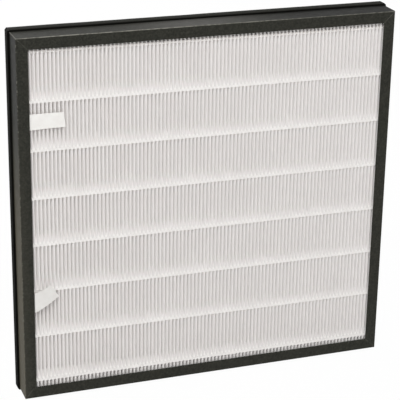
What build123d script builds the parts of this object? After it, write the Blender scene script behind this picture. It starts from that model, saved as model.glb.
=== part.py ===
from build123d import *
import os
from math import acos, atan2, cos, hypot, pi, radians, sin

os.makedirs("parts", exist_ok=True)

# Pleated air filter panel, upright, in millimetres.
# X runs across the panel, +Y goes from its front to its back, and Z is up.
# The origin is the centre of the overall outline, at its base.

# Board frame, outside sizes
frame_width = 396.0
frame_height = 382.0
frame_depth = 38.0
board_thickness = 1.2
flange_width = 11.8
fold_radius = 0.9

# Rounded flange tip of the bottom rail, lapped past the mitre at the lower left corner
lap_start = 1.5
lap_knee_run = 3.6
lap_knee_drop = 1.2
lap_tip_radius = 2.5

# Foam gasket strips round the outer sides
gasket_width = 12.0
gasket_thickness = 2.2
gasket_rear_inset = 0.5
gasket_edge_radius = 0.7
gasket_end_gap = 0.5

# Pleated media pack
pleat_pitch = 4.0
side_seal_least = 1.5
media_thickness = 0.5
pleat_fold_radius = 1.0
outer_fold_flats = 5
inner_fold_flats = 3
tip_clearance = 0.8
end_seal_thickness = 1.5

# Hot-melt separator beads across the pleat tips
bead_pitch = 49.7
bead_rows_above_centre = 1.3
bead_width = 3.0
bead_height = 0.3
bead_end_overhang = 1.0

# White tape tabs from under the left flange
tab_thickness = 0.5
tab_width = 16.0
tab_tongue_length = 8.0
tab_edge_clearance = 0.2
upper_tab_row = 6
upper_tab_above_row = 30.9
upper_tab_reach = 35.5
upper_tab_lift = 1.2
upper_tab_end_slant = 1.6
lower_tab_row = 3
lower_tab_below_row = 20.1
lower_tongue_height = 17.5
lower_riser_run = 1.3
tab_stand_off = 3.5
crease_height = 22.0
flap_droop = 9.2
flap_low_reach = 25.1
flap_low_rise = 13.3
flap_high_reach = 16.4
flap_high_rise = 27.6

# Places worked out from the sizes
front_y = (tab_stand_off - frame_depth) / 2
rear_y = front_y + frame_depth
frame_left = -frame_width / 2
frame_bottom = gasket_thickness
frame_top = frame_bottom + frame_height
frame_centre = frame_bottom + frame_height / 2
window_left = frame_left + flange_width
inner_left = frame_left + board_thickness
inner_front_y = front_y + board_thickness
inner_rear_y = rear_y - board_thickness
tip_front_y = inner_front_y + tip_clearance
tip_rear_y = inner_rear_y - tip_clearance
pack_bottom = frame_bottom + board_thickness + end_seal_thickness
pack_height = frame_height - 2 * (board_thickness + end_seal_thickness)
pleat_count = int((-2 * inner_left - 2 * side_seal_least) // pleat_pitch)
pack_end_ridge = (pleat_count - 1) * pleat_pitch / 2
bead_row_count = int((frame_height - 2 * flange_width) // bead_pitch) + 1

# One side of the frame after another, anticlockwise as seen from the front.
# Each has its starting corner and the way it runs; its local y axis points into the frame.
SIDES = {
    "bottom": (Vector(frame_left, front_y, frame_bottom), Vector(1, 0, 0), frame_width),
    "right": (Vector(-frame_left, front_y, frame_bottom), Vector(0, 0, 1), frame_height),
    "top": (Vector(-frame_left, front_y, frame_top), Vector(-1, 0, 0), frame_width),
    "left": (Vector(frame_left, front_y, frame_top), Vector(0, 0, -1), frame_height),
}


def side_plane(side):
    """The section plane at a side's starting corner: x is depth from the front, y is inwards."""
    corner, run, length = SIDES[side]
    return Plane(origin=corner, x_dir=(0, 1, 0), z_dir=run)


def mitre_planes(side):
    """The two 45 degree planes that end a rail, each with its normal towards the rail."""
    corner, run, length = SIDES[side]
    inward = run.cross(Vector(0, 1, 0))
    start = Plane(origin=corner, x_dir=(0, 1, 0), z_dir=run - inward)
    finish = Plane(origin=corner + run * length, x_dir=(0, 1, 0), z_dir=-run - inward)
    return start, finish


def lap_outline():
    """The bottom rail's flange tip past the mitre line, drawn on the front face."""
    start = (frame_left + lap_start, frame_bottom + lap_start)
    inner = (frame_left + flange_width, frame_bottom + flange_width)
    knee = (inner[0] - lap_knee_run, inner[1] - lap_knee_drop)
    with BuildSketch(Plane.XZ.offset(-front_y)) as outline:
        with BuildLine():
            FilletPolyline(start, knee, inner, radius=lap_tip_radius)
            Line(inner, start)
        make_face()
    return outline.sketch


# Frame rails: folded board channels with a flange in front and behind, mitred at both ends
for side in SIDES:
    with BuildPart() as rail:
        with BuildSketch(side_plane(side)):
            with BuildLine():
                FilletPolyline(
                    (0, flange_width),
                    (0, 0),
                    (frame_depth, 0),
                    (frame_depth, flange_width),
                    radius=fold_radius,
                )
                Polyline(
                    (frame_depth, flange_width),
                    (frame_depth - board_thickness, flange_width),
                    (frame_depth - board_thickness, board_thickness),
                    (board_thickness, board_thickness),
                    (board_thickness, flange_width),
                    (0, flange_width),
                )
            make_face()
        extrude(amount=SIDES[side][2])
        for plane in mitre_planes(side):
            split(bisect_by=plane, keep=Keep.TOP)
        if side == "bottom":
            extrude(lap_outline(), amount=-board_thickness)
        if side == "left":
            extrude(lap_outline(), amount=-board_thickness, mode=Mode.SUBTRACT)
    rail.part.label = f"frame_{side}_rail"
    export_step(rail.part, f"parts/{rail.part.label}.step")

# Foam gasket strips, stuck round the outer sides along the rear edge
for side in SIDES:
    with BuildPart() as gasket:
        with BuildSketch(side_plane(side).offset(gasket_end_gap)):
            with Locations((frame_depth - gasket_rear_inset, 0)):
                Rectangle(gasket_width, gasket_thickness, align=(Align.MAX, Align.MAX))
        extrude(amount=SIDES[side][2] - 2 * gasket_end_gap)
        outward = SIDES[side][1].cross(Vector(0, -1, 0))
        outer_face = gasket.faces().sort_by(Axis((0, 0, 0), outward))[-1]
        fillet(outer_face.edges(), gasket_edge_radius)
    gasket.part.label = f"gasket_{side}"
    export_step(gasket.part, f"parts/{gasket.part.label}.step")


# Pleated pack: walls lean by the angle at which a straight wall is tangent to both of its folds
inner_fold_radius = pleat_fold_radius - media_thickness
fold_front_y = tip_front_y + pleat_fold_radius
fold_rear_y = tip_rear_y - pleat_fold_radius
fold_to_fold = fold_rear_y - fold_front_y
half_pitch = pleat_pitch / 2
wall_lean = acos((pleat_fold_radius + inner_fold_radius) / hypot(half_pitch, fold_to_fold)) - atan2(
    fold_to_fold, half_pitch
)
fold_sweep = pi - 2 * wall_lean


def fold(x, y, radius, direction, flats):
    """Corners of one creased fold from left to right: direction -1 bulges forward, 1 backward."""
    corners = []
    for crease in range(flats + 1):
        angle = (crease / flats - 0.5) * fold_sweep
        corners.append((x + radius * sin(angle), y + direction * radius * cos(angle)))
    return corners


def sheet_end(radius, direction):
    """Where one side of the sheet stops at the rear, past the first (-1) or last (1) front fold."""
    x = direction * (pack_end_ridge + half_pitch)
    return x - direction * radius * cos(wall_lean), fold_rear_y + radius * sin(wall_lean)


def sheet_side(front_radius, front_flats, rear_radius, rear_flats):
    """The corners along one side of the folded sheet, from its left end to its right end."""
    corners = [sheet_end(rear_radius, -1)]
    for pleat in range(pleat_count):
        x = pleat * pleat_pitch - pack_end_ridge
        corners += fold(x, fold_front_y, front_radius, -1, front_flats)
        if pleat < pleat_count - 1:
            corners += fold(x + half_pitch, fold_rear_y, rear_radius, 1, rear_flats)
    corners.append(sheet_end(rear_radius, 1))
    return corners


sheet_front = sheet_side(pleat_fold_radius, outer_fold_flats, inner_fold_radius, inner_fold_flats)
sheet_rear = sheet_side(inner_fold_radius, inner_fold_flats, pleat_fold_radius, outer_fold_flats)

with BuildPart() as pleated_media:
    with BuildSketch(Plane.XY.offset(pack_bottom)):
        with BuildLine():
            Polyline(*sheet_front, *reversed(sheet_rear), close=True)
        make_face()
    extrude(amount=pack_height)
pleated_media.part.label = "pleated_media"
export_step(pleated_media.part, "parts/pleated_media.step")

# Where the middle flat of each fold lies, which the beads sit on
tip_flat_depth = pleat_fold_radius * cos(fold_sweep / (2 * outer_fold_flats))
front_seat_y = fold_front_y - tip_flat_depth
rear_seat_y = fold_rear_y + tip_flat_depth


def bead_row_z(row):
    """Height of a bead row, counted from 1 at the bottom."""
    return frame_centre + bead_rows_above_centre + (row - (bead_row_count + 1) / 2) * bead_pitch


# Separator beads: low rounded lines of glue, each laid across every pleat of its row
bead_faces = {"front": (front_seat_y, -1), "rear": (rear_seat_y, 1)}
for face in bead_faces:
    seat_y, outward = bead_faces[face]
    for row in range(1, bead_row_count + 1):
        bead_z = bead_row_z(row)
        with BuildPart() as bead:
            with BuildSketch(Plane.YZ.offset(-pack_end_ridge - bead_end_overhang)):
                with BuildLine():
                    low = (seat_y, bead_z - bead_width / 2)
                    crown = (seat_y + outward * bead_height, bead_z)
                    high = (seat_y, bead_z + bead_width / 2)
                    ThreePointArc(low, crown, high)
                    Line(high, low)
                make_face()
            extrude(amount=2 * (pack_end_ridge + bead_end_overhang))
        bead.part.label = f"bead_{face}_{row}"
        export_step(bead.part, f"parts/{bead.part.label}.step")

# Adhesive across the pleat ends, which fills the channel behind the top and bottom rails
for side, seal_z in (("bottom", frame_bottom + board_thickness), ("top", pack_bottom + pack_height)):
    with BuildPart() as end_seal:
        with BuildSketch(Plane.XY.offset(seal_z)):
            with Locations((0, (inner_front_y + inner_rear_y) / 2)):
                Rectangle(-2 * inner_left, inner_rear_y - inner_front_y)
        extrude(amount=end_seal_thickness)
    end_seal.part.label = f"seal_{side}"
    export_step(end_seal.part, f"parts/{end_seal.part.label}.step")

# Adhesive between the outermost pleat walls and the side rails
wall_front = fold(-pack_end_ridge, fold_front_y, pleat_fold_radius, -1, outer_fold_flats)[0]
wall_rear = sheet_end(inner_fold_radius, -1)
for side, direction in (("left", 1), ("right", -1)):
    with BuildPart() as side_seal:
        with BuildSketch(Plane.XY.offset(pack_bottom)):
            with BuildLine():
                Polyline(
                    (direction * inner_left, wall_front[1]),
                    (direction * wall_front[0], wall_front[1]),
                    (direction * wall_rear[0], wall_rear[1]),
                    (direction * inner_left, wall_rear[1]),
                    close=True,
                )
            make_face()
        extrude(amount=pack_height)
    side_seal.part.label = f"seal_{side}"
    export_step(side_seal.part, f"parts/{side_seal.part.label}.step")

# Upper pull tab: a flat tongue behind the flange, then a strip that lifts a little to its free end
upper_tab_bottom = bead_row_z(upper_tab_row) + upper_tab_above_row - tab_width / 2
lift_radius = (upper_tab_reach**2 + upper_tab_lift**2) / (2 * upper_tab_lift)
free_end = Vector(window_left + upper_tab_reach, inner_front_y - upper_tab_lift)
lift_centre = Vector(window_left, inner_front_y - lift_radius)
free_end_back = free_end + (free_end - lift_centre).normalized() * tab_thickness
end_slant = Plane(
    origin=(free_end.X, free_end.Y, upper_tab_bottom),
    x_dir=(0, 1, 0),
    z_dir=(-tab_width, 0, -upper_tab_end_slant),
)
with BuildPart() as pull_tab_upper:
    with BuildSketch(Plane.XY.offset(upper_tab_bottom)):
        with BuildLine():
            tongue_back_y = inner_front_y + tab_thickness
            Line((window_left - tab_tongue_length, inner_front_y), (window_left, inner_front_y))
            TangentArc((window_left, inner_front_y), free_end, tangent=(1, 0))
            Line(free_end, free_end_back)
            TangentArc((window_left, tongue_back_y), free_end_back, tangent=(1, 0))
            Line((window_left, tongue_back_y), (window_left - tab_tongue_length, tongue_back_y))
            Line(
                (window_left - tab_tongue_length, tongue_back_y),
                (window_left - tab_tongue_length, inner_front_y),
            )
        make_face()
    extrude(amount=tab_width)
    split(bisect_by=end_slant, keep=Keep.TOP)
pull_tab_upper.part.label = "pull_tab_upper"
export_step(pull_tab_upper.part, "parts/pull_tab_upper.step")

# Lower pull tab: a tongue behind the flange, a riser past the flange's edge, and a creased flap
# that hangs over the pleats, up and to the right
lower_tab_bottom = bead_row_z(lower_tab_row) - lower_tab_below_row
crease_y = front_y - tab_stand_off
riser_foot = Vector(window_left + tab_edge_clearance, inner_front_y + tab_thickness, lower_tab_bottom)
crease_foot = Vector(window_left + lower_riser_run, crease_y, lower_tab_bottom)
riser_way = crease_foot - riser_foot
riser_plane = Plane(origin=riser_foot, x_dir=riser_way, z_dir=riser_way.cross(Vector(0, 0, 1)))
flap_way = Vector(cos(radians(flap_droop)), sin(radians(flap_droop)), 0)
flap_plane = Plane(origin=crease_foot, x_dir=flap_way, z_dir=flap_way.cross(Vector(0, 0, 1)))
tongue_width = tab_tongue_length + tab_edge_clearance + tab_thickness
with BuildPart() as pull_tab_lower:
    with BuildSketch(Plane.XZ.offset(-inner_front_y)):
        with Locations((window_left - tab_tongue_length, lower_tab_bottom)):
            Rectangle(tongue_width, lower_tongue_height, align=(Align.MIN, Align.MIN))
    extrude(amount=-tab_thickness)
    with BuildSketch(riser_plane):
        with BuildLine():
            Polyline(
                (0, 0),
                (riser_way.length, 0),
                (riser_way.length, crease_height),
                (0, lower_tongue_height),
                close=True,
            )
        make_face()
    extrude(amount=-tab_thickness)
    with BuildSketch(flap_plane):
        with BuildLine():
            Polyline(
                (0, 0),
                (flap_low_reach, flap_low_rise),
                (flap_high_reach, flap_high_rise),
                (0, crease_height),
                close=True,
            )
        make_face()
    extrude(amount=-tab_thickness)
pull_tab_lower.part.label = "pull_tab_lower"
export_step(pull_tab_lower.part, "parts/pull_tab_lower.step")
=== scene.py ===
import math
import random

import bmesh
import bpy
from mathutils import Matrix, Vector, noise


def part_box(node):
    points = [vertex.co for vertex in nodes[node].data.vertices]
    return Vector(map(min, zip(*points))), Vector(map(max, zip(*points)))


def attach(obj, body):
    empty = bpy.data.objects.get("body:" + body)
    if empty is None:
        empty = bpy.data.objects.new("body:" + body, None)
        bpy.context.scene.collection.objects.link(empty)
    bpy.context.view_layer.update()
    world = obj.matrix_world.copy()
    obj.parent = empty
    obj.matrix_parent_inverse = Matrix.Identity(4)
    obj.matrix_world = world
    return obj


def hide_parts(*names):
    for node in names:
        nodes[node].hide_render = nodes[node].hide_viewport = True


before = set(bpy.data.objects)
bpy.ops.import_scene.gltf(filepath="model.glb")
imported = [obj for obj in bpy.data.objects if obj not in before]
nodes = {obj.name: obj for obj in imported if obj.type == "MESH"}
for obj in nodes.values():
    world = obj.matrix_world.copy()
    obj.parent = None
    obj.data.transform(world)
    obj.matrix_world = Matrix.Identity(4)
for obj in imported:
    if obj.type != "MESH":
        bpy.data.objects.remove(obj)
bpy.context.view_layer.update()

MM = 0.001
SIDES = ("top", "bottom", "left", "right")

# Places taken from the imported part, in metres
rail_low, rail_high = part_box("frame_left_rail")
pack_low, pack_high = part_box("pleated_media")
FRAME_LEFT = rail_low[0]
FRAME_RIGHT = -rail_low[0]
FRAME_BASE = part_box("frame_bottom_rail")[0][2]
FRAME_TOP = rail_high[2]
FRAME_CENTRE = (FRAME_BASE + FRAME_TOP) / 2
FRONT_Y = rail_low[1]
FLANGE = rail_high[0] - rail_low[0]
WINDOW_LEFT = rail_high[0]

# Pleated pack
PLEAT_PITCH = 4.0 * MM
PLEAT_COUNT = 97
MEDIA_THICKNESS = 0.5 * MM
FOLD_RADIUS = 1.0 * MM
FOLD_STEPS = 4
PACK_LEVELS_PER_ROW = 3
TIP_DEPTH = 1.3 * MM
PACK_END_RIDGE = (PLEAT_COUNT - 1) * PLEAT_PITCH / 2

# Stray of the pleats between the rows: each layer has its steps per pleat and per row, a seed and a strength
PLEAT_WANDER = 0.13 * MM
STRAY_LAYERS = ((0.37, 3.1, 0.7, 1.6), (1.9, 5.3, 4.2, 0.8))
HELD_END_PLEATS = 3

# Bead rows
BEAD_ROWS = 8
BEAD_PITCH = 49.7 * MM
BEAD_WIDTH = 3.0 * MM
BEAD_SLOPE = -0.005
BEAD_BOXES = [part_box(f"bead_front_{row + 1}") for row in range(BEAD_ROWS)]
BEAD_CENTRES = [(low[2] + high[2]) / 2 for low, high in BEAD_BOXES]
TOP_ROW_SUNK = 2.2 * MM
LOWEST_ROW_SHARE = 0.5
LOWEST_ROW_DROOP = 1.7

# Shares of the way up to the next row between which the paper is painted paler, as painted light in the shade
# just under that row
UNDER_BEAD_LIGHT_SHARES = (0.76, 0.94)

# Line of glue across the pleat tips
RIBBON_SIDES = 8
RIBBON_ROOT = 0.8 * MM
RIBBON_DIP = 0.30 * MM
RIBBON_CREST = 0.10 * MM
RIBBON_ROUGHNESS = 0.04 * MM
RIBBON_STRAY = 0.12 * MM
RIBBON_FULLNESS = (0.80, 0.95)
VALLEY_ARCH = 0.6

# Wedge of glue between two pleats
FINGER_DEPTH = 10.5 * MM
FINGER_DRAWN_UP = 15.0 * MM
FINGER_IN_WALLS = 0.3 * MM
FINGER_WIDTH = PLEAT_PITCH - 2 * FOLD_RADIUS + FINGER_IN_WALLS
FINGER_TAPER = 0.28
FINGER_ACROSS = 4
FINGER_ALONG = 6
FINGER_ARCH = 0.55
FINGER_SKIRT = 1.5
FINGER_ROOT = 0.04
FINGER_MOUTH = (0.25 * MM, 0.45 * MM)
DEPTH_SPREAD = (0.85, 1.1)
HEIGHT_SPREAD = (0.9, 1.1)
DRAWN_SPREAD = (0.92, 1.04)

# Foam strips
GASKET_STATIONS = 48
GASKET_EDGE_RADIUS = 0.9 * MM
GASKET_EDGE_STEPS = 4
GASKET_INSET = 0.35 * MM
GASKET_SHIFT = 0.35 * MM
SHIFT_WAVES = 14
SHIFT_SEED = 7.7
GASKET_SHRINK = {"top": 0.20 * MM, "bottom": 0.20 * MM, "left": 0.0, "right": 0.20 * MM}
SHRINK_WAVES = 30
SHRINK_SEED = 1.3

# Tape tabs
TAPE_THICKNESS = 0.25 * MM
TAPE_ACROSS = 8

# Colours of the board
BOARD_DARK = (0.0120, 0.0125, 0.0090, 1)
BOARD_FIBRE = (0.0330, 0.0335, 0.0265, 1)
BOARD_MOTTLE = (0.034, 0.033, 0.026, 1)
BOARD_PALE_BLOTCH = (0.046, 0.045, 0.036, 1)
BOARD_DARK_BLOTCH = (0.008, 0.008, 0.0065, 1)
# Painted reflection of the floor, lighter low on the board's left side
BOARD_FLOOR_REFLECTION = (0.092, 0.081, 0.055, 1)
# Paler tone low on the left flange
BOARD_LOW_LEFT_PALE = (0.092, 0.086, 0.066, 1)
# Painted shade: high on the left side and towards the right of the top side
BOARD_PAINTED_SHADE = (0.004, 0.004, 0.003, 1)
# Painted highlight on the top side
BOARD_TOP_HIGHLIGHT = (0.082, 0.080, 0.073, 1)
# Worn board, which also serves as a painted highlight along the folds
BOARD_WORN_AND_HIGHLIGHT = (0.25, 0.245, 0.215, 1)
BOARD_JOINT = (0.095, 0.093, 0.080, 1)

# Colours of the foam, the paper and the glue
FOAM_DARK = (0.0018, 0.0018, 0.0014, 1)
FOAM_LIGHT = (0.0055, 0.0055, 0.0045, 1)
# Painted light on the up-facing top of the upper strip
FOAM_TOP_PAINTED_LIGHT = (0.020, 0.020, 0.017, 1)
PAPER_WALL = (0.890, 0.878, 0.870, 1)
# Wall paper painted paler just under each bead: painted light in the shade there
PAPER_WALL_UNDER_BEAD_LIGHT = (0.925, 0.915, 0.908, 1)
PAPER_TIP_DARK = (0.780, 0.756, 0.742, 1)
PAPER_TIP_PALE = (0.825, 0.802, 0.789, 1)
# Tip paper painted paler just under each bead: painted light in the shade there
PAPER_TIP_UNDER_BEAD_LIGHT = (0.832, 0.812, 0.800, 1)
PAPER_FELT = (0.60, 0.58, 0.56, 1)
BEAD_DEEP = (0.850, 0.828, 0.812, 1)
BEAD_PALE = (0.890, 0.870, 0.855, 1)
# Thin glue drawn up the walls, darkened as painted shade
BEAD_THIN_AND_SHADED = (0.760, 0.740, 0.725, 1)
ADHESIVE_DEEP = (0.62, 0.59, 0.52, 1)
ADHESIVE_PALE = (0.72, 0.69, 0.62, 1)

# Worn marks, paler tone and painted light on the board: how far from a side or a fold they reach
SIDE_REACH = 0.5 * MM
LOW_LEFT_PALE_REACH = 12.0 * MM
TOP_FOLD_REACH = 1.1 * MM
LEFT_FOLD_REACH = 0.9 * MM
CORNER_REACH = 1.2 * MM
JOINT_WIDTH = (0.1 * MM, 0.55 * MM)

# Where the painted reflection, painted shade, paler tone, painted highlight and painted light fade: up the
# left side, along the top side, and up from the frame on the upper foam
FLOOR_REFLECTION_HEIGHTS = (150 * MM, 310 * MM)
LEFT_SHADE_HEIGHTS = (240 * MM, 340 * MM)
LOW_LEFT_PALE_HEIGHTS = (160 * MM, 340 * MM)
TOP_HIGHLIGHT_PLACE = -15 * MM
TOP_HIGHLIGHT_REACH = 90 * MM
TOP_DARK_PLACES = (20 * MM, 110 * MM)
FOAM_TOP_LIGHT_RISE = (1.2 * MM, 2.2 * MM)

# Light and camera
AMBIENT_COLOUR = (1.0, 0.99, 0.98, 1)
AMBIENT_STRENGTH = 0.50
FLOOR_SIZE = 8.0
FLOOR_COLOUR = (0.90, 0.90, 0.90, 1)
FLOOR_WHITE_SHARE = 0.97
LAMP_AIM = (0, 0, 0.2)
LAMP_SIZE = (1.6, 1.2)
CAMERA_PLACE = (-0.4987, -1.37965, 0.7533)
CAMERA_RIGHT = (0.9433, -0.3317, 0.0149)
CAMERA_FORWARD = (0.3149, 0.8796, -0.3566)
CAMERA_LENS = 136.41
CAMERA_SENSOR = 36.0
CAMERA_CLIP_END = 20.0


# Materials

class Nodes:
    """A short way to write a node tree: most calls add one node and give back its output."""

    def __init__(self, name):
        self.material = bpy.data.materials.new(name)
        self.material.use_nodes = True
        self.tree = self.material.node_tree
        self.tree.nodes.clear()
        self.out = self.tree.nodes.new("ShaderNodeOutputMaterial")

    def put(self, socket, value):
        if isinstance(value, bpy.types.NodeSocket):
            self.tree.links.new(value, socket)
        else:
            socket.default_value = value

    def place(self):
        coordinates = self.tree.nodes.new("ShaderNodeTexCoord").outputs["Object"]
        parts = self.tree.nodes.new("ShaderNodeSeparateXYZ")
        self.put(parts.inputs[0], coordinates)
        return coordinates, parts.outputs[0], parts.outputs[1], parts.outputs[2]

    def math(self, operation, a, b=0.0, clamp=False):
        node = self.tree.nodes.new("ShaderNodeMath")
        node.operation = operation
        node.use_clamp = clamp
        for socket, value in zip(node.inputs, (a, b)):
            self.put(socket, value)
        return node.outputs[0]

    def stretch(self, vector, scale):
        node = self.tree.nodes.new("ShaderNodeVectorMath")
        node.operation = "MULTIPLY"
        self.put(node.inputs[0], vector)
        self.put(node.inputs[1], scale)
        return node.outputs[0]

    def noise(self, vector, scale, detail, roughness):
        node = self.tree.nodes.new("ShaderNodeTexNoise")
        self.put(node.inputs["Vector"], vector)
        self.put(node.inputs["Scale"], scale)
        self.put(node.inputs["Detail"], detail)
        self.put(node.inputs["Roughness"], roughness)
        return node.outputs["Fac"]

    def cells(self, vector, scale):
        node = self.tree.nodes.new("ShaderNodeTexVoronoi")
        self.put(node.inputs["Vector"], vector)
        self.put(node.inputs["Scale"], scale)
        return node.outputs["Distance"]

    def steps(self, value, low, high, out_low=0.0, out_high=1.0):
        node = self.tree.nodes.new("ShaderNodeMapRange")
        node.interpolation_type = "SMOOTHSTEP"
        for name, number in zip(("Value", "From Min", "From Max", "To Min", "To Max"),
                                (value, low, high, out_low, out_high)):
            self.put(node.inputs[name], number)
        return node.outputs["Result"]

    def mix(self, factor, a, b):
        node = self.tree.nodes.new("ShaderNodeMix")
        node.data_type = "RGBA"
        self.put(node.inputs["Factor"], factor)
        self.put(node.inputs["A"], a)
        self.put(node.inputs["B"], b)
        return node.outputs["Result"]

    def bump(self, height, distance, strength):
        node = self.tree.nodes.new("ShaderNodeBump")
        self.put(node.inputs["Height"], height)
        self.put(node.inputs["Distance"], distance)
        self.put(node.inputs["Strength"], strength)
        return node.outputs["Normal"]

    def surface(self, colour, roughness, normal, **uniform):
        shader = self.tree.nodes.new("ShaderNodeBsdfPrincipled")
        self.put(shader.inputs["Base Color"], colour)
        self.put(shader.inputs["Roughness"], roughness)
        self.put(shader.inputs["Normal"], normal)
        for name, value in uniform.items():
            shader.inputs[name.replace("_", " ")].default_value = value
        self.tree.links.new(shader.outputs[0], self.out.inputs[0])
        return self.material


def near(n, coordinate, place, reach):
    """1 on a plane, falling to 0 at reach from it."""
    distance = n.math("ABSOLUTE", n.math("SUBTRACT", coordinate, place))
    return n.steps(distance, 0.0, reach, 1.0, 0.0)


def line_distance(n, x, z, start, end):
    """Distance in the XZ plane from each point to the straight line between two places."""
    length = math.hypot(end[0] - start[0], end[1] - start[1])
    toward_x = (end[0] - start[0]) / length
    toward_z = (end[1] - start[1]) / length
    from_x = n.math("SUBTRACT", x, start[0])
    from_z = n.math("SUBTRACT", z, start[1])
    along = n.math("ADD", n.math("MULTIPLY", from_x, toward_x), n.math("MULTIPLY", from_z, toward_z))
    along = n.math("MINIMUM", n.math("MAXIMUM", along, 0.0), length)
    off_x = n.math("SUBTRACT", from_x, n.math("MULTIPLY", along, toward_x))
    off_z = n.math("SUBTRACT", from_z, n.math("MULTIPLY", along, toward_z))
    squared = n.math("ADD", n.math("MULTIPLY", off_x, off_x), n.math("MULTIPLY", off_z, off_z))
    return n.math("SQRT", squared)


def seam_lines():
    """The joints between the rails' flanges, as pairs of places in the XZ plane: one lapped, three mitred."""
    lines = []
    for x, z in ((FRAME_LEFT, FRAME_TOP), (FRAME_RIGHT, FRAME_TOP), (FRAME_RIGHT, FRAME_BASE)):
        inner = (x - math.copysign(FLANGE, x), z - math.copysign(FLANGE, z - FRAME_CENTRE))
        lines.append(((x, z), inner))
    lap = ((0.0, 0.0), (1.5 * MM, 1.5 * MM), (7.6 * MM, 9.9 * MM), (8.9 * MM, 10.9 * MM))
    corners = [(FRAME_LEFT + right, FRAME_BASE + up) for right, up in (*lap, (FLANGE, FLANGE))]
    lines += list(zip(corners, corners[1:]))
    return lines


def board_material():
    """Dark folded board: mottled fibre, a painted reflection of the floor, painted shade and a painted
    highlight on its sides, a paler lower left flange, worn folds with a painted highlight, and light joints.
    """
    n = Nodes("dark_board")
    place, x, y, z = n.place()
    fibre = n.noise(place, 900.0, 4.0, 0.6)
    mottle = n.noise(place, 120.0, 3.0, 0.55)
    blotch = n.noise(place, 420.0, 2.0, 0.7)
    base = n.mix(n.steps(fibre, 0.3, 0.75), BOARD_DARK, BOARD_FIBRE)
    base = n.mix(n.steps(mottle, 0.3, 0.8, 0.0, 0.35), base, BOARD_MOTTLE)
    base = n.mix(n.steps(blotch, 0.48, 0.66, 0.0, 0.35), base, BOARD_PALE_BLOTCH)
    base = n.mix(n.steps(blotch, 0.36, 0.48, 0.35, 0.0), base, BOARD_DARK_BLOTCH)

    # Left side: a painted reflection of the floor below and painted shade above; the flange beside it paler
    # towards the bottom
    left_side = near(n, x, FRAME_LEFT, SIDE_REACH)
    # Painted reflection of the floor, low on the left side
    floor_reflection = n.math("MULTIPLY", left_side, n.steps(z, *FLOOR_REFLECTION_HEIGHTS, 0.80, 0.0))
    base = n.mix(floor_reflection, base, BOARD_FLOOR_REFLECTION)
    # Painted shade high on the left side
    shaded_left_side = n.math("MULTIPLY", left_side, n.steps(z, *LEFT_SHADE_HEIGHTS, 0.0, 0.7))
    base = n.mix(shaded_left_side, base, BOARD_PAINTED_SHADE)
    # Paler towards the bottom on the flange beside the left side
    low_left_fade = n.steps(z, *LOW_LEFT_PALE_HEIGHTS, 0.16, 0.0)
    low_left_pale = n.math("MULTIPLY", near(n, x, FRAME_LEFT, LOW_LEFT_PALE_REACH), low_left_fade)
    base = n.mix(low_left_pale, base, BOARD_LOW_LEFT_PALE)

    # Top side: a painted highlight left of its middle, and painted shade towards the right
    top_side = near(n, z, FRAME_TOP, SIDE_REACH)
    # Painted highlight across the middle of the top side
    middle = near(n, x, TOP_HIGHLIGHT_PLACE, TOP_HIGHLIGHT_REACH)
    base = n.mix(n.math("MULTIPLY", top_side, middle), base, BOARD_TOP_HIGHLIGHT)
    # Painted shade towards the right of the top side
    shaded = n.math("MULTIPLY", top_side, n.steps(x, *TOP_DARK_PLACES, 0.25, 0.95))
    base = n.mix(shaded, base, BOARD_PAINTED_SHADE)

    # Folds: worn along the top one, specked down the left one, and both given a painted highlight
    dashes = n.steps(n.noise(place, 260.0, 3.0, 0.7), 0.40, 0.62)
    # Painted highlight along the top fold, with worn dashes
    top_fold = n.math("MULTIPLY", near(n, z, FRAME_TOP, TOP_FOLD_REACH), near(n, y, FRONT_Y, TOP_FOLD_REACH))
    along = n.steps(x, FRAME_LEFT, FRAME_RIGHT, 1.0, 0.45)
    top_fold_wear_and_highlight = n.math("MULTIPLY", n.math("MULTIPLY", top_fold, along), n.math("ADD", dashes, 0.75))
    # Painted highlight along the left fold, with worn specks
    left_edges = (near(n, x, FRAME_LEFT, LEFT_FOLD_REACH), near(n, y, FRONT_Y, LEFT_FOLD_REACH))
    left_fold = n.math("MULTIPLY", *left_edges)
    specks = n.steps(n.noise(place, 420.0, 2.0, 0.6), 0.52, 0.62)
    left_fold_wear_and_highlight = n.math("MULTIPLY", left_fold, n.math("ADD", specks, 0.15))
    corner = n.math("MULTIPLY", near(n, x, FRAME_LEFT, CORNER_REACH), near(n, z, FRAME_TOP, CORNER_REACH))
    folds = n.math("ADD", top_fold_wear_and_highlight, left_fold_wear_and_highlight)
    wear_and_highlight = n.math("ADD", folds, n.math("MULTIPLY", corner, 0.55), clamp=True)
    colour = n.mix(wear_and_highlight, base, BOARD_WORN_AND_HIGHLIGHT)

    # Joints between the rails
    seam = None
    for start, end in seam_lines():
        gap = line_distance(n, x, z, start, end)
        seam = gap if seam is None else n.math("MINIMUM", seam, gap)
    joint = n.math("MULTIPLY", n.steps(seam, *JOINT_WIDTH, 0.6, 0.0), n.math("ADD", dashes, 0.2))
    colour = n.mix(joint, colour, BOARD_JOINT)

    rough = n.steps(mottle, 0.2, 0.8, 0.60, 0.72)
    return n.surface(colour, rough, n.bump(fibre, 0.12 * MM, 0.6), Specular_IOR_Level=0.16)


def foam_material():
    """Black closed-cell foam, with painted light on the up-facing top of the upper strip."""
    n = Nodes("black_foam")
    place, _, _, z = n.place()
    cell = n.cells(place, 1400.0)
    tone = n.noise(place, 60.0, 3.0, 0.6)
    colour = n.mix(n.steps(tone, 0.3, 0.7), FOAM_DARK, FOAM_LIGHT)
    # Painted light on the top of the upper strip, where it faces up
    lit_top = n.steps(z, *(FRAME_TOP + rise for rise in FOAM_TOP_LIGHT_RISE))
    colour = n.mix(lit_top, colour, FOAM_TOP_PAINTED_LIGHT)
    return n.surface(colour, 0.85, n.bump(cell, 0.15 * MM, 0.7), Specular_IOR_Level=0.06)


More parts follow.
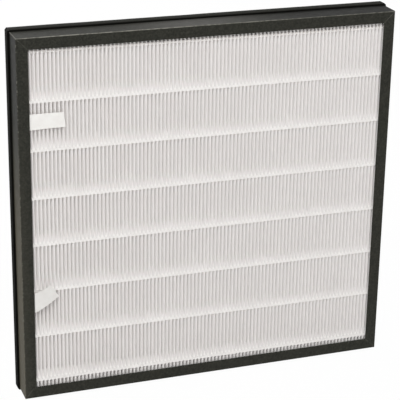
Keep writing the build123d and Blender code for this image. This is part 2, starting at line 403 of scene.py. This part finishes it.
def bead_rows_up(n, x, z):
    """Height above the lowest bead row, counted in rows, along the slight slope of the rows."""
    climb = n.math("SUBTRACT", z, n.math("MULTIPLY", x, BEAD_SLOPE))
    return n.math("DIVIDE", n.math("SUBTRACT", climb, BEAD_CENTRES[0]), BEAD_PITCH)


def media_material():
    """White glass-fibre paper: felted grain, its tips pressed greyer, and painted paler close under each
    bead, as painted light in the shade there.
    """
    n = Nodes("glass_fibre_paper")
    place, x, y, z = n.place()
    felt = n.noise(n.stretch(place, (1.0, 1.0, 0.25)), 1600.0, 4.0, 0.65)
    cloud = n.noise(place, 35.0, 3.0, 0.5)
    front_tips = n.steps(y, pack_low[1], pack_low[1] + TIP_DEPTH, 1.0, 0.0)
    rear_tips = n.steps(y, pack_high[1] - TIP_DEPTH, pack_high[1], 0.0, 1.0)
    tips = n.math("MAXIMUM", front_tips, rear_tips)
    # Painted light: paler paper just under each bead, where shade falls
    under_bead_light = n.steps(n.math("FRACT", bead_rows_up(n, x, z)), *UNDER_BEAD_LIGHT_SHARES)
    walls = n.mix(under_bead_light, PAPER_WALL, PAPER_WALL_UNDER_BEAD_LIGHT)
    pressed = n.mix(n.steps(cloud, 0.3, 0.7), PAPER_TIP_DARK, PAPER_TIP_PALE)
    pressed = n.mix(under_bead_light, pressed, PAPER_TIP_UNDER_BEAD_LIGHT)
    colour = n.mix(tips, walls, pressed)
    colour = n.mix(n.steps(felt, 0.35, 0.5, 0.10, 0.0), colour, PAPER_FELT)
    return n.surface(colour, 0.85, n.bump(felt, 0.08 * MM, 0.5), Specular_IOR_Level=0.2)


def soft_skin(n, place):
    """Clouds of tone, and the shallow uneven surface of glue that has set."""
    cloud = n.noise(place, 90.0, 3.0, 0.55)
    lumps = n.noise(place, 420.0, 2.0, 0.5)
    return n.steps(cloud, 0.3, 0.7), n.bump(lumps, 0.25 * MM, 0.6)


def bead_material():
    """Hot-melt of the beads: palest along each row, and thin over the paper where it is drawn up, darkened
    there as painted shade.
    """
    n = Nodes("bead_hot_melt")
    place, x, _, z = n.place()
    tone, skin = soft_skin(n, place)
    rows = bead_rows_up(n, x, z)
    away = n.math("ABSOLUTE", n.math("SUBTRACT", rows, n.math("ROUND", rows)))
    # Painted shade on the thin glue drawn up above each row
    thin = n.steps(away, 0.4 * BEAD_WIDTH / BEAD_PITCH, 1.2 * BEAD_WIDTH / BEAD_PITCH)
    colour = n.mix(thin, n.mix(tone, BEAD_DEEP, BEAD_PALE), BEAD_THIN_AND_SHADED)
    return n.surface(colour, 0.55, skin, Specular_IOR_Level=0.3)


def adhesive_material():
    """The poured adhesive at the pack's ends."""
    n = Nodes("end_adhesive")
    tone, skin = soft_skin(n, n.place()[0])
    return n.surface(n.mix(tone, ADHESIVE_DEEP, ADHESIVE_PALE), 0.45, skin)


def tape_material(name, tone):
    """White non-woven tape with a fine thread across it."""
    n = Nodes(name)
    place = n.place()[0]
    thread = n.noise(n.stretch(place, (0.15, 1.0, 1.0)), 2200.0, 3.0, 0.6)
    soil = n.noise(place, 110.0, 3.0, 0.6)
    fresh = (tone, tone * 0.99, tone * 0.96, 1)
    soiled = (tone * 0.95, tone * 0.93, tone * 0.90, 1)
    colour = n.mix(n.steps(soil, 0.3, 0.7), fresh, soiled)
    return n.surface(colour, 0.7, n.bump(thread, 0.06 * MM, 0.6), Specular_IOR_Level=0.3)


BOARD = board_material()
FOAM = foam_material()
MEDIA = media_material()
BEAD_GLUE = bead_material()
END_GLUE = adhesive_material()
TAPE = tape_material("white_tape", 0.885)
# The lower tab's tape: the same tape made darker, as painted shade where the flap faces away from the light
TAPE_PAINTED_SHADE = tape_material("white_tape_painted_shade", 0.80)


def paint(obj, material):
    """Gives a piece or a CAD node its one material."""
    obj.data.materials.clear()
    obj.data.materials.append(material)


def piece(name, points, faces, material, stands_for, smooth_angle=40.0):
    """A mesh piece of the object, painted, riding on the part and standing for its CAD node."""
    mesh = bpy.data.meshes.new(name)
    mesh.from_pydata(points, [], faces)
    mesh.validate()
    work = bmesh.new()
    work.from_mesh(mesh)
    bmesh.ops.recalc_face_normals(work, faces=work.faces)
    work.to_mesh(mesh)
    work.free()
    mesh.shade_smooth()
    mesh.set_sharp_from_angle(angle=math.radians(smooth_angle))
    obj = bpy.data.objects.new(name, mesh)
    bpy.context.scene.collection.objects.link(obj)
    paint(obj, material)
    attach(obj, "root")
    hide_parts(stands_for)
    return obj


def bridge(faces, first, second, count, closed=True):
    """Quads between two rings of points that start at those indices."""
    for i in range(count if closed else count - 1):
        j = (i + 1) % count
        faces.append((first + i, first + j, second + j, second + i))


def close_end(faces, base, across):
    """Quads over a flat ring of points that runs out along one side and back along the other."""
    last = base + 2 * across + 1
    for j in range(across):
        faces.append((base + j, base + j + 1, last - 1 - j, last - j))


# Pleated pack

def wander(pleat, z):
    """How far a pleat strays sideways at a height: held at the bead rows, loose between them."""
    span = (z - BEAD_CENTRES[0]) / BEAD_PITCH
    loose = abs(math.sin(math.pi * span))
    row = math.floor(span)
    stray = 0.0
    for per_pleat, per_row, seed, strength in STRAY_LAYERS:
        stray += noise.noise(Vector((pleat * per_pleat, row * per_row, seed))) * strength
    from_end = min(pleat, PLEAT_COUNT - 1 - pleat) / HELD_END_PLEATS
    return PLEAT_WANDER * loose * stray * max(0.0, min(1.0, from_end))


def pack_levels():
    """Heights at which the pack's section is repeated."""
    marks = [pack_low[2], *BEAD_CENTRES, pack_high[2]]
    levels = []
    for low, high in zip(marks, marks[1:]):
        for step in range(PACK_LEVELS_PER_ROW):
            levels.append(low + (high - low) * step / PACK_LEVELS_PER_ROW)
    levels.append(pack_high[2])
    return levels


def pack_section(z):
    """The folded sheet's two sides at a height, as two lists of points of equal length."""
    inner = FOLD_RADIUS - MEDIA_THICKNESS
    front_y = pack_low[1] + FOLD_RADIUS
    rear_y = pack_high[1] - FOLD_RADIUS
    half = PLEAT_PITCH / 2
    reach = rear_y - front_y
    lean = math.acos((FOLD_RADIUS + inner) / math.hypot(half, reach)) - math.atan2(reach, half)
    sweep = math.pi - 2 * lean
    sides = ([], [])
    for fold in range(2 * PLEAT_COUNT - 1):
        pleat = fold / 2
        x = pleat * PLEAT_PITCH - PACK_END_RIDGE + wander(pleat, z)
        at_front = fold % 2 == 0
        for side, radius in zip(sides, (FOLD_RADIUS, inner) if at_front else (inner, FOLD_RADIUS)):
            for step in range(FOLD_STEPS + 1):
                angle = (step / FOLD_STEPS - 0.5) * sweep
                y = front_y - radius * math.cos(angle) if at_front else rear_y + radius * math.cos(angle)
                side.append((x + radius * math.sin(angle), y, z))
    for side, radius in zip(sides, (inner, FOLD_RADIUS)):
        x = PACK_END_RIDGE + half - radius * math.cos(lean)
        y = rear_y + radius * math.sin(lean)
        side.insert(0, (-x, y, z))
        side.append((x, y, z))
    return sides


def build_pack():
    """The folded sheet, with its section repeated up the pack."""
    points = []
    faces = []
    levels = pack_levels()
    for z in levels:
        front, rear = pack_section(z)
        count = len(front)
        points += front + rear
    ring = 2 * count
    for level in range(len(levels) - 1):
        base = level * ring
        bridge(faces, base, base + ring, count, closed=False)
        bridge(faces, base + count, base + count + ring, count, closed=False)
        for i in (0, count - 1):
            faces.append((base + i, base + count + i, base + count + ring + i, base + ring + i))
    for base in (0, (len(levels) - 1) * ring):
        bridge(faces, base, base + count, count, closed=False)
    piece("pleated_pack", points, faces, MEDIA, "pleated_media")


# Separator beads

def bead_ribbon(points, faces, z, seat, tip, sunk, droop, rng):
    """The line of glue across the tips: a closed low strand that dips between the pleats."""
    stations = 2 * PLEAT_COUNT + 1
    first = len(points)
    outward = math.copysign(1.0, tip - seat)
    for station in range(stations):
        x = -PACK_END_RIDGE + (station - 1) * PLEAT_PITCH / 2
        on_valley = station % 2 == 0
        crest = -RIBBON_DIP if on_valley else RIBBON_CREST
        rise = crest - sunk + rng.uniform(-RIBBON_ROUGHNESS, RIBBON_ROUGHNESS)
        tall = BEAD_WIDTH / 2 * rng.uniform(*RIBBON_FULLNESS)
        middle = z + BEAD_SLOPE * x + rng.uniform(-RIBBON_STRAY, RIBBON_STRAY)
        for k in range(RIBBON_SIDES):
            angle = 2 * math.pi * k / RIBBON_SIDES
            crown = math.cos(angle)
            drop = 1.0 if math.sin(angle) > 0 else droop * (VALLEY_ARCH if on_valley else 1.0)
            y = seat + outward * (rise * crown if crown > 0 else (RIBBON_ROOT + sunk) * crown)
            points.append((x, y, middle + tall * drop * math.sin(angle)))
    for station in range(stations - 1):
        bridge(faces, first + station * RIBBON_SIDES, first + (station + 1) * RIBBON_SIDES, RIBBON_SIDES)
    for end in (first, first + (stations - 1) * RIBBON_SIDES):
        faces.append(tuple(end + k for k in range(RIBBON_SIDES)))


def valley_stray(valley, side, z):
    """How far the gap between two neighbouring pleat tips strays sideways at a height."""
    first = valley if side == "front" else valley + 0.5
    return (wander(first, z) + wander(first + 1, z)) / 2


def bead_finger(points, faces, valley, side, x, z, mouth, reach, drawn, droop, rng):
    """The glue that runs back between two pleats: arched below, and drawn up the walls above."""
    first = len(points)
    inward = 1 if side == "front" else -1
    reach *= rng.uniform(*DEPTH_SPREAD)
    tall = BEAD_WIDTH / 2 * rng.uniform(*HEIGHT_SPREAD)
    drawn *= rng.uniform(*DRAWN_SPREAD)
    arch = FINGER_ARCH * droop
    spread = [2 * j / FINGER_ACROSS - 1 for j in range(FINGER_ACROSS + 1)]
    for i in range(FINGER_ALONG + 1):
        t = i / FINGER_ALONG
        half = FINGER_WIDTH / 2 * (1 - FINGER_TAPER * t)
        below = tall * math.sqrt(max(FINGER_ROOT, 1 - t * t))
        above = [(s, z + tall + drawn * t) for s in spread]
        under = [(s, z - below * (arch + (FINGER_SKIRT - arch) * s * s)) for s in spread]
        for s, height in above + under[::-1]:
            place = x + s * half + valley_stray(valley, side, height)
            points.append((place, mouth + inward * reach * t, height))
    ring = 2 * (FINGER_ACROSS + 1)
    for i in range(FINGER_ALONG):
        bridge(faces, first + i * ring, first + (i + 1) * ring, ring)
    for base in (first, first + FINGER_ALONG * ring):
        close_end(faces, base, FINGER_ACROSS)


def bead_row(side, row):
    """One row of glue on one side of the pack: its line over the tips and its wedges between the pleats."""
    inward = 1 if side == "front" else -1
    name = f"bead_{side}_{row + 1}"
    low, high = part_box(name)
    rng = random.Random(name)
    z = BEAD_CENTRES[row]
    tip, seat = (low[1], high[1]) if side == "front" else (high[1], low[1])
    top_row = row == BEAD_ROWS - 1
    sunk = TOP_ROW_SUNK if top_row else 0.0
    share = LOWEST_ROW_SHARE if row == 0 else 1.0
    droop = LOWEST_ROW_DROOP if row == 0 else 1.0
    drawn = 0.0 if top_row else FINGER_DRAWN_UP * share
    reach = FINGER_DEPTH * share
    points = []
    faces = []
    bead_ribbon(points, faces, z, seat, tip, sunk, droop, rng)
    valleys = PLEAT_COUNT - 1 if side == "front" else PLEAT_COUNT - 2
    for valley in range(valleys):
        x = (valley - (valleys - 1) / 2) * PLEAT_PITCH
        mouth = seat + inward * (sunk + rng.uniform(*FINGER_MOUTH))
        bead_finger(points, faces, valley, side, x, z + BEAD_SLOPE * x, mouth, reach, drawn, droop, rng)
    piece(name + "_glue", points, faces, BEAD_GLUE, name, smooth_angle=60.0)


# Foam strips

def gasket_profile(front, rear, inner, outer):
    """The strip's section, from its front inner edge round the outside to its rear inner edge."""
    direction = math.copysign(1, outer - inner)
    profile = [(front, inner)]
    steps = range(GASKET_EDGE_STEPS + 1)
    for edge, turn, order in ((front, 1, steps), (rear, -1, reversed(steps))):
        for k in order:
            angle = math.pi / 2 * k / GASKET_EDGE_STEPS
            y = edge + turn * GASKET_EDGE_RADIUS * (1 - math.cos(angle))
            profile.append((y, outer - direction * GASKET_EDGE_RADIUS * (1 - math.sin(angle))))
    profile.append((rear, inner))
    return profile


def build_gasket(side):
    """A foam strip: the uprights' ends are cut on the slant, over the ends of the level strips."""
    name = f"gasket_{side}"
    low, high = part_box(name)
    level = side in ("top", "bottom")
    start, end = (FRAME_LEFT, FRAME_RIGHT) if level else (FRAME_BASE, FRAME_TOP)
    axis = 2 if level else 0
    inner, outer = (low[axis], high[axis]) if side in ("top", "right") else (high[axis], low[axis])
    thickness = abs(outer - inner)
    seed = len(side)
    points = []
    faces = []
    for station in range(GASKET_STATIONS + 1):
        t = (1 - math.cos(math.pi * station / GASKET_STATIONS)) / 2
        along = start + (end - start) * t
        shrink = GASKET_SHRINK[side] * abs(noise.noise(Vector((along * SHRINK_WAVES, SHRINK_SEED, seed))))
        shift = GASKET_SHIFT * noise.noise(Vector((along * SHIFT_WAVES, SHIFT_SEED, seed)))
        front = low[1] + GASKET_INSET + shift
        rear = high[1] - GASKET_INSET + shift
        profile = gasket_profile(front, rear, inner, outer - math.copysign(shrink, outer - inner))
        lean = 0.0 if level else {0: -1.0, GASKET_STATIONS: 1.0}.get(station, 0.0)
        for y, across in profile:
            place = along + lean * (thickness - abs(across - inner))
            points.append((place, y, across) if level else (across, y, place))
    ring = len(profile)
    for station in range(GASKET_STATIONS):
        bridge(faces, station * ring, (station + 1) * ring, ring)
    for base in (0, GASKET_STATIONS * ring):
        faces.append(tuple(base + k for k in range(ring)))
    piece(name + "_foam", points, faces, FOAM, name, smooth_angle=35.0)


# Tape tabs

def tape_tab(name, stations, material, stands_for):
    """A thin closed sheet through stations: each gives two edge points and the way its face looks."""
    points = []
    faces = []
    for (a, b, out) in stations:
        a, b, out = Vector(a), Vector(b), Vector(out).normalized()
        front = [a.lerp(b, j / TAPE_ACROSS) for j in range(TAPE_ACROSS + 1)]
        back = [p - out * TAPE_THICKNESS for p in front]
        points += [tuple(p) for p in front + back[::-1]]
    ring = 2 * (TAPE_ACROSS + 1)
    for i in range(len(stations) - 1):
        bridge(faces, i * ring, (i + 1) * ring, ring)
    for base in (0, (len(stations) - 1) * ring):
        close_end(faces, base, TAPE_ACROSS)
    obj = piece(name, points, faces, material, stands_for, smooth_angle=45.0)


def build_upper_tab():
    """The flat tab: it lifts a little off the pleats towards its end, which is cut askew."""
    low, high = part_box("pull_tab_upper")
    steps = 24
    tongue_y = FRONT_Y + 1.3 * MM
    end_slant = 1.6 * MM
    end_wave = 0.25 * MM
    end_radians = 7.0
    end_lift = 1.1 * MM
    lift_power = 1.6
    top_lift_share = 0.85
    ripple = 0.12 * MM
    ripple_radians = 9.0
    edge_start = -0.3 * MM
    edge_rise = 1.3 * MM
    edge_wave = 0.1 * MM
    edge_radians = 5.0
    length = high[0] - low[0]
    reach = high[0] - WINDOW_LEFT
    stations = []
    for i in range(steps + 1):
        t = i / steps
        x_low = low[0] + length * t
        x_high = low[0] + (length - end_slant) * t
        past = max(0.0, (x_low - WINDOW_LEFT) / reach)
        lift = max(0.0, end_lift * past ** lift_power + ripple * math.sin(ripple_radians * past))
        slope = end_lift * lift_power * past ** (lift_power - 1) / reach
        bottom = low[2] + edge_start + edge_rise * past + edge_wave * math.sin(edge_radians * past)
        top_x = x_high + end_wave * math.sin(end_radians * past) * past
        stations.append(((x_low, tongue_y - lift, bottom), (top_x, tongue_y - lift * top_lift_share, high[2]),
                         (-slope, -1.0, 0.0)))
    tape_tab("upper_pull_tab_tape", stations, TAPE, "pull_tab_upper")


def build_lower_tab():
    """The folded tab: out from under the flange to an upright crease, then a flap back on the slant."""
    low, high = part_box("pull_tab_lower")
    tongue_steps = 3
    rise_steps = 6
    flap_steps = 10
    tongue_y = FRONT_Y + 1.35 * MM
    tongue_height = 17.5 * MM
    tongue_end = WINDOW_LEFT - 0.3 * MM
    foot_x = WINDOW_LEFT + 0.3 * MM
    crease_x = WINDOW_LEFT + 0.35 * MM
    crease_y = low[1] + 1.85 * MM
    crease_height = 20.9 * MM
    crease_drop = 0.6 * MM
    hollow = 0.3 * MM
    bow = 2.1 * MM
    low_tip = Vector((high[0] - 0.3 * MM, low[1] + 4.0 * MM, low[2] + 13.9 * MM))
    high_tip = Vector((crease_x + 16.2 * MM, low[1] + 2.6 * MM, high[2]))
    tongue_out = (0, -1, 0)
    rise_out = (-1, -0.25, 0)
    crease_out = (-0.6, -0.8, 0)
    flap_out = (0.16, -0.98, 0.0)
    stations = []
    for i in range(tongue_steps + 1):
        x = low[0] + (tongue_end - low[0]) * i / tongue_steps
        stations.append(((x, tongue_y, low[2]), (x, tongue_y, low[2] + tongue_height), tongue_out))
    for i in range(1, rise_steps):
        t = i / rise_steps
        x = foot_x + (crease_x - foot_x) * t
        y = tongue_y + (crease_y - tongue_y) * t + hollow
        tall = tongue_height + (crease_height - tongue_height) * t
        stations.append(((x, y, low[2]), (x, y, low[2] + tall), rise_out))
    crease_low = Vector((crease_x, crease_y, low[2] - crease_drop))
    crease_high = Vector((crease_x, crease_y, low[2] + crease_height))
    stations.append((crease_low, crease_high, crease_out))
    for i in range(1, flap_steps + 1):
        t = i / flap_steps
        out = Vector((0, -bow * math.sin(math.pi * t), 0))
        stations.append((crease_low.lerp(low_tip, t) + out, crease_high.lerp(high_tip, t) + out, flap_out))
    # The flap's tape is darkened as painted shade
    tape_tab("lower_pull_tab_tape", stations, TAPE_PAINTED_SHADE, "pull_tab_lower")


# Stage, light and camera

def white_for_camera(tree, own, white_kind, share):
    """Mixes a shader with plain white where the camera, a reflection or clear stuff looks at it."""
    path = tree.nodes.new("ShaderNodeLightPath")
    seen = path.outputs["Is Camera Ray"]
    for name in ("Is Glossy Ray", "Is Transmission Ray"):
        add = tree.nodes.new("ShaderNodeMath")
        add.operation = "MAXIMUM"
        tree.links.new(seen, add.inputs[0])
        tree.links.new(path.outputs[name], add.inputs[1])
        seen = add.outputs[0]
    scale = tree.nodes.new("ShaderNodeMath")
    scale.operation = "MULTIPLY"
    tree.links.new(seen, scale.inputs[0])
    scale.inputs[1].default_value = share
    mix = tree.nodes.new("ShaderNodeMixShader")
    tree.links.new(scale.outputs[0], mix.inputs[0])
    tree.links.new(own, mix.inputs[1])
    white = tree.nodes.new(white_kind)
    white.inputs["Color"].default_value = (1, 1, 1, 1)
    white.inputs["Strength"].default_value = 1.0
    tree.links.new(white.outputs[0], mix.inputs[2])
    return mix.outputs[0]


def build_world():
    """Soft even light from all round, seen as white."""
    world = bpy.data.worlds.new("studio")
    bpy.context.scene.world = world
    world.use_nodes = True
    tree = world.node_tree
    tree.nodes.clear()
    ambient = tree.nodes.new("ShaderNodeBackground")
    ambient.inputs["Color"].default_value = AMBIENT_COLOUR
    ambient.inputs["Strength"].default_value = AMBIENT_STRENGTH
    output = tree.nodes.new("ShaderNodeOutputWorld")
    tree.links.new(white_for_camera(tree, ambient.outputs[0], "ShaderNodeBackground", 1.0), output.inputs[0])


def build_floor():
    """A pale floor that keeps a faint shadow of the object."""
    bpy.ops.mesh.primitive_plane_add(size=FLOOR_SIZE, location=(0, 0, 0))
    floor = bpy.context.object
    floor.name = "floor"
    material = bpy.data.materials.new("pale_floor")
    material.use_nodes = True
    tree = material.node_tree
    tree.nodes.clear()
    diffuse = tree.nodes.new("ShaderNodeBsdfDiffuse")
    diffuse.inputs["Color"].default_value = FLOOR_COLOUR
    output = tree.nodes.new("ShaderNodeOutputMaterial")
    shader = white_for_camera(tree, diffuse.outputs[0], "ShaderNodeEmission", FLOOR_WHITE_SHARE)
    tree.links.new(shader, output.inputs[0])
    floor.data.materials.append(material)


def lamp(name, place, power):
    """A large soft lamp, turned towards the panel."""
    data = bpy.data.lights.new(name, "AREA")
    data.shape = "RECTANGLE"
    data.size, data.size_y = LAMP_SIZE
    data.energy = power
    obj = bpy.data.objects.new(name, data)
    obj.location = place
    obj.rotation_euler = (Vector(LAMP_AIM) - Vector(place)).to_track_quat("-Z", "Y").to_euler()
    bpy.context.scene.collection.objects.link(obj)


def build_camera():
    """The photograph's camera: its place and axes were solved from the frame's corners."""
    data = bpy.data.cameras.new("camera")
    data.sensor_width = CAMERA_SENSOR
    data.lens = CAMERA_LENS
    data.clip_end = CAMERA_CLIP_END
    obj = bpy.data.objects.new("camera", data)
    right = Vector(CAMERA_RIGHT).normalized()
    forward = Vector(CAMERA_FORWARD).normalized()
    turn = Matrix((right, right.cross(forward), -forward)).transposed()
    obj.matrix_world = Matrix.Translation(CAMERA_PLACE) @ turn.to_4x4()
    bpy.context.scene.collection.objects.link(obj)
    bpy.context.scene.camera = obj


scene = bpy.context.scene
scene.view_settings.view_transform = "Standard"
# Light has to bounce many times between folds of white paper
scene.cycles.diffuse_bounces = 16
scene.cycles.max_bounces = 20
build_camera()
build_world()
build_floor()
lamp("key", (-0.5, -1.6, 2.4), 42.0)
lamp("back_fill", (-0.7, 2.2, 0.8), 24.0)
build_pack()
for side in ("front", "rear"):
    for row in range(BEAD_ROWS):
        bead_row(side, row)
for side in SIDES:
    build_gasket(side)
build_upper_tab()
build_lower_tab()
for side in SIDES:
    paint(nodes[f"frame_{side}_rail"], BOARD)
    paint(nodes[f"seal_{side}"], END_GLUE)
